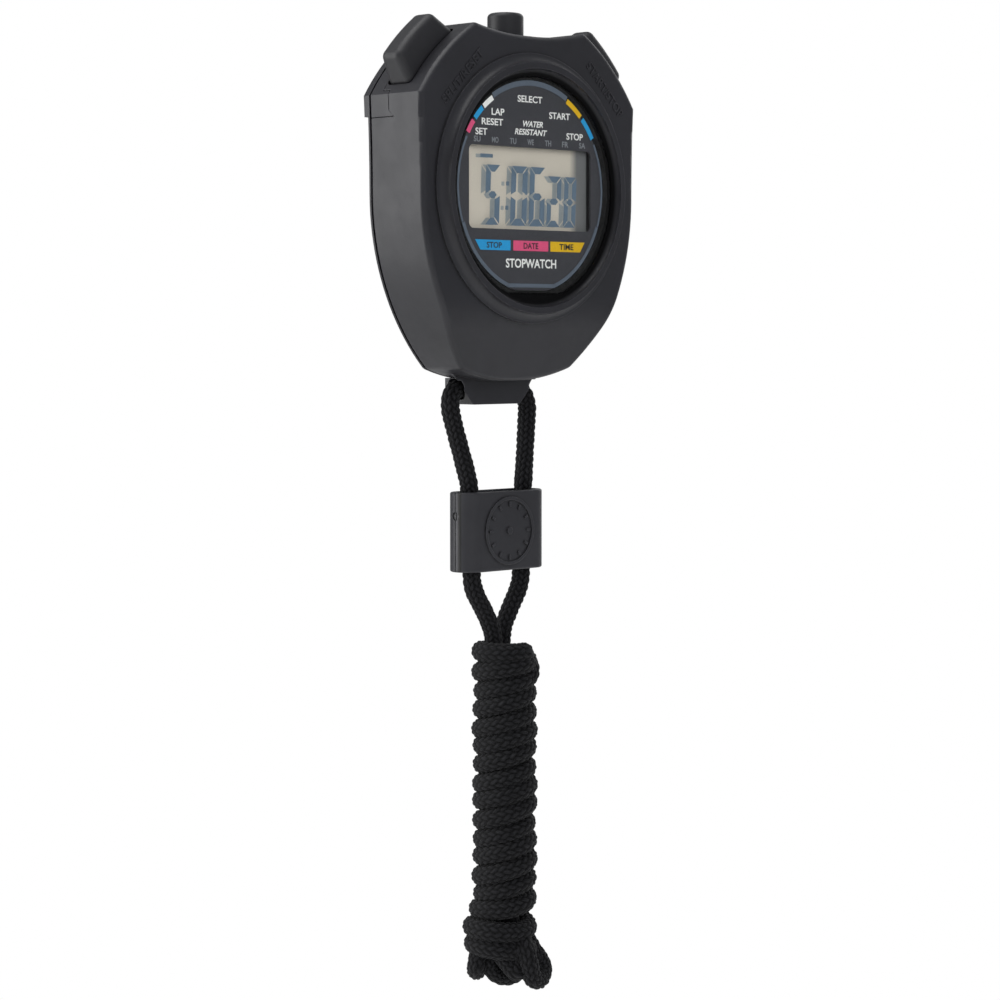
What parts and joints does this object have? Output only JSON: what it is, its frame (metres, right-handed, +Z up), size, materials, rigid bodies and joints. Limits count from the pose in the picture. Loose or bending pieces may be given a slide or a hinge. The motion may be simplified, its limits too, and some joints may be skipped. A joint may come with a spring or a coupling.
{
  "type": "digital sports stopwatch",
  "caption": "Black digital sports stopwatch with a raised round window, three push buttons, a lanyard lug and a braided neck cord wound into a bundle below a cord slider.",
  "frame": {"origin": "where the dial's axis meets the flat rest face on the back", "axes": "+X right seen from the front, -Y out of the dial towards the viewer, +Z up towards the top button"},
  "size_m": [0.066, 0.0199, 0.2079],
  "materials": {
    "case_plastic": "fine satin texture",
    "button_plastic": "fine satin texture",
    "slider_plastic": "satin",
    "seal_rubber": "matte",
    "zebra_rubber": "matte",
    "screw_steel": "bright",
    "window_clear": "clear",
    "dial_print": "printed dark grey",
    "display_glass": "clear",
    "display_backing": "silvery grey",
    "frame_plastic": "plain",
    "board_laminate": "green solder mask",
    "chip_epoxy": "glossy black",
    "component_ceramic": "matte",
    "contact_metal": "bright",
    "battery_steel": "bright",
    "buzzer_brass": "bright",
    "clip_steel": "oiled",
    "spring_steel": "bright",
    "cord_braid": "braided polyester"
  },
  "bodies": {
    "case": {"front_case": "case_plastic", "back_cover": "case_plastic", "case_gasket": "seal_rubber", "back_screws": "screw_steel", "window_lens": "window_clear", "lens_gasket": "seal_rubber", "dial_plate": "dial_print", "lcd_glass": "display_glass", "lcd_reflector": "display_backing", "lcd_frame": "frame_plastic", "zebra_strips": "zebra_rubber", "circuit_board": "board_laminate", "board_screws": "screw_steel", "chip_blob": "chip_epoxy", "quartz_crystal": "screw_steel", "board_components": "component_ceramic", "battery_lower_contact": "contact_metal", "battery_cell": "battery_steel", "battery_clip": "contact_metal", "buzzer_disc": "buzzer_brass", "buzzer_ceramic": "component_ceramic", "buzzer_springs": "spring_steel", "left_button_insert": "case_plastic", "right_button_insert": "case_plastic", "start_button_spring": "spring_steel", "lap_button_spring": "spring_steel", "select_button_spring": "spring_steel", "start_contact_leaf": "contact_metal", "lap_contact_leaf": "contact_metal", "select_contact_leaf": "contact_metal"},
    "start_button": {"start_button": "button_plastic", "start_button_seal": "seal_rubber", "start_button_clip": "clip_steel"},
    "lap_button": {"lap_button": "button_plastic", "lap_button_seal": "seal_rubber", "lap_button_clip": "clip_steel"},
    "select_button": {"select_button": "button_plastic", "select_button_seal": "seal_rubber", "select_button_clip": "clip_steel"},
    "lanyard": {"neck_cord": "cord_braid", "cord_bundle": "cord_braid", "cord_end_loops": "cord_braid"},
    "cord_slider": {"slider_front_shell": "slider_plastic", "slider_rear_shell": "slider_plastic"}
  },
  "joints": [
    {"name": "start_press", "type": "slide", "parent": "case", "child": "start_button", "axis": [-0.682, 0, -0.7314], "range_m": [0, 0.0012], "stiffness_N_per_m": 300, "springref_m": -0.0015, "deforming": ["start_button_spring"]},
    {"name": "lap_press", "type": "slide", "parent": "case", "child": "lap_button", "axis": [0.682, 0, -0.7314], "range_m": [0, 0.0012], "stiffness_N_per_m": 300, "springref_m": -0.0015, "deforming": ["lap_button_spring"]},
    {"name": "select_press", "type": "slide", "parent": "case", "child": "select_button", "axis": [0, 0, -1], "range_m": [0, 0.0012], "stiffness_N_per_m": 300, "springref_m": -0.0015, "deforming": ["select_button_spring"]},
    {"name": "cord_swing", "type": "hinge", "parent": "case", "child": "lanyard", "pos_m": [0, -0.004, -0.0415], "axis": [1, 0, 0], "range_deg": [-65, 65]},
    {"name": "slider_slide", "type": "slide", "parent": "lanyard", "child": "cord_slider", "axis": [0, 0, 1], "range_m": [-0.01, 0.003]}
  ]
}
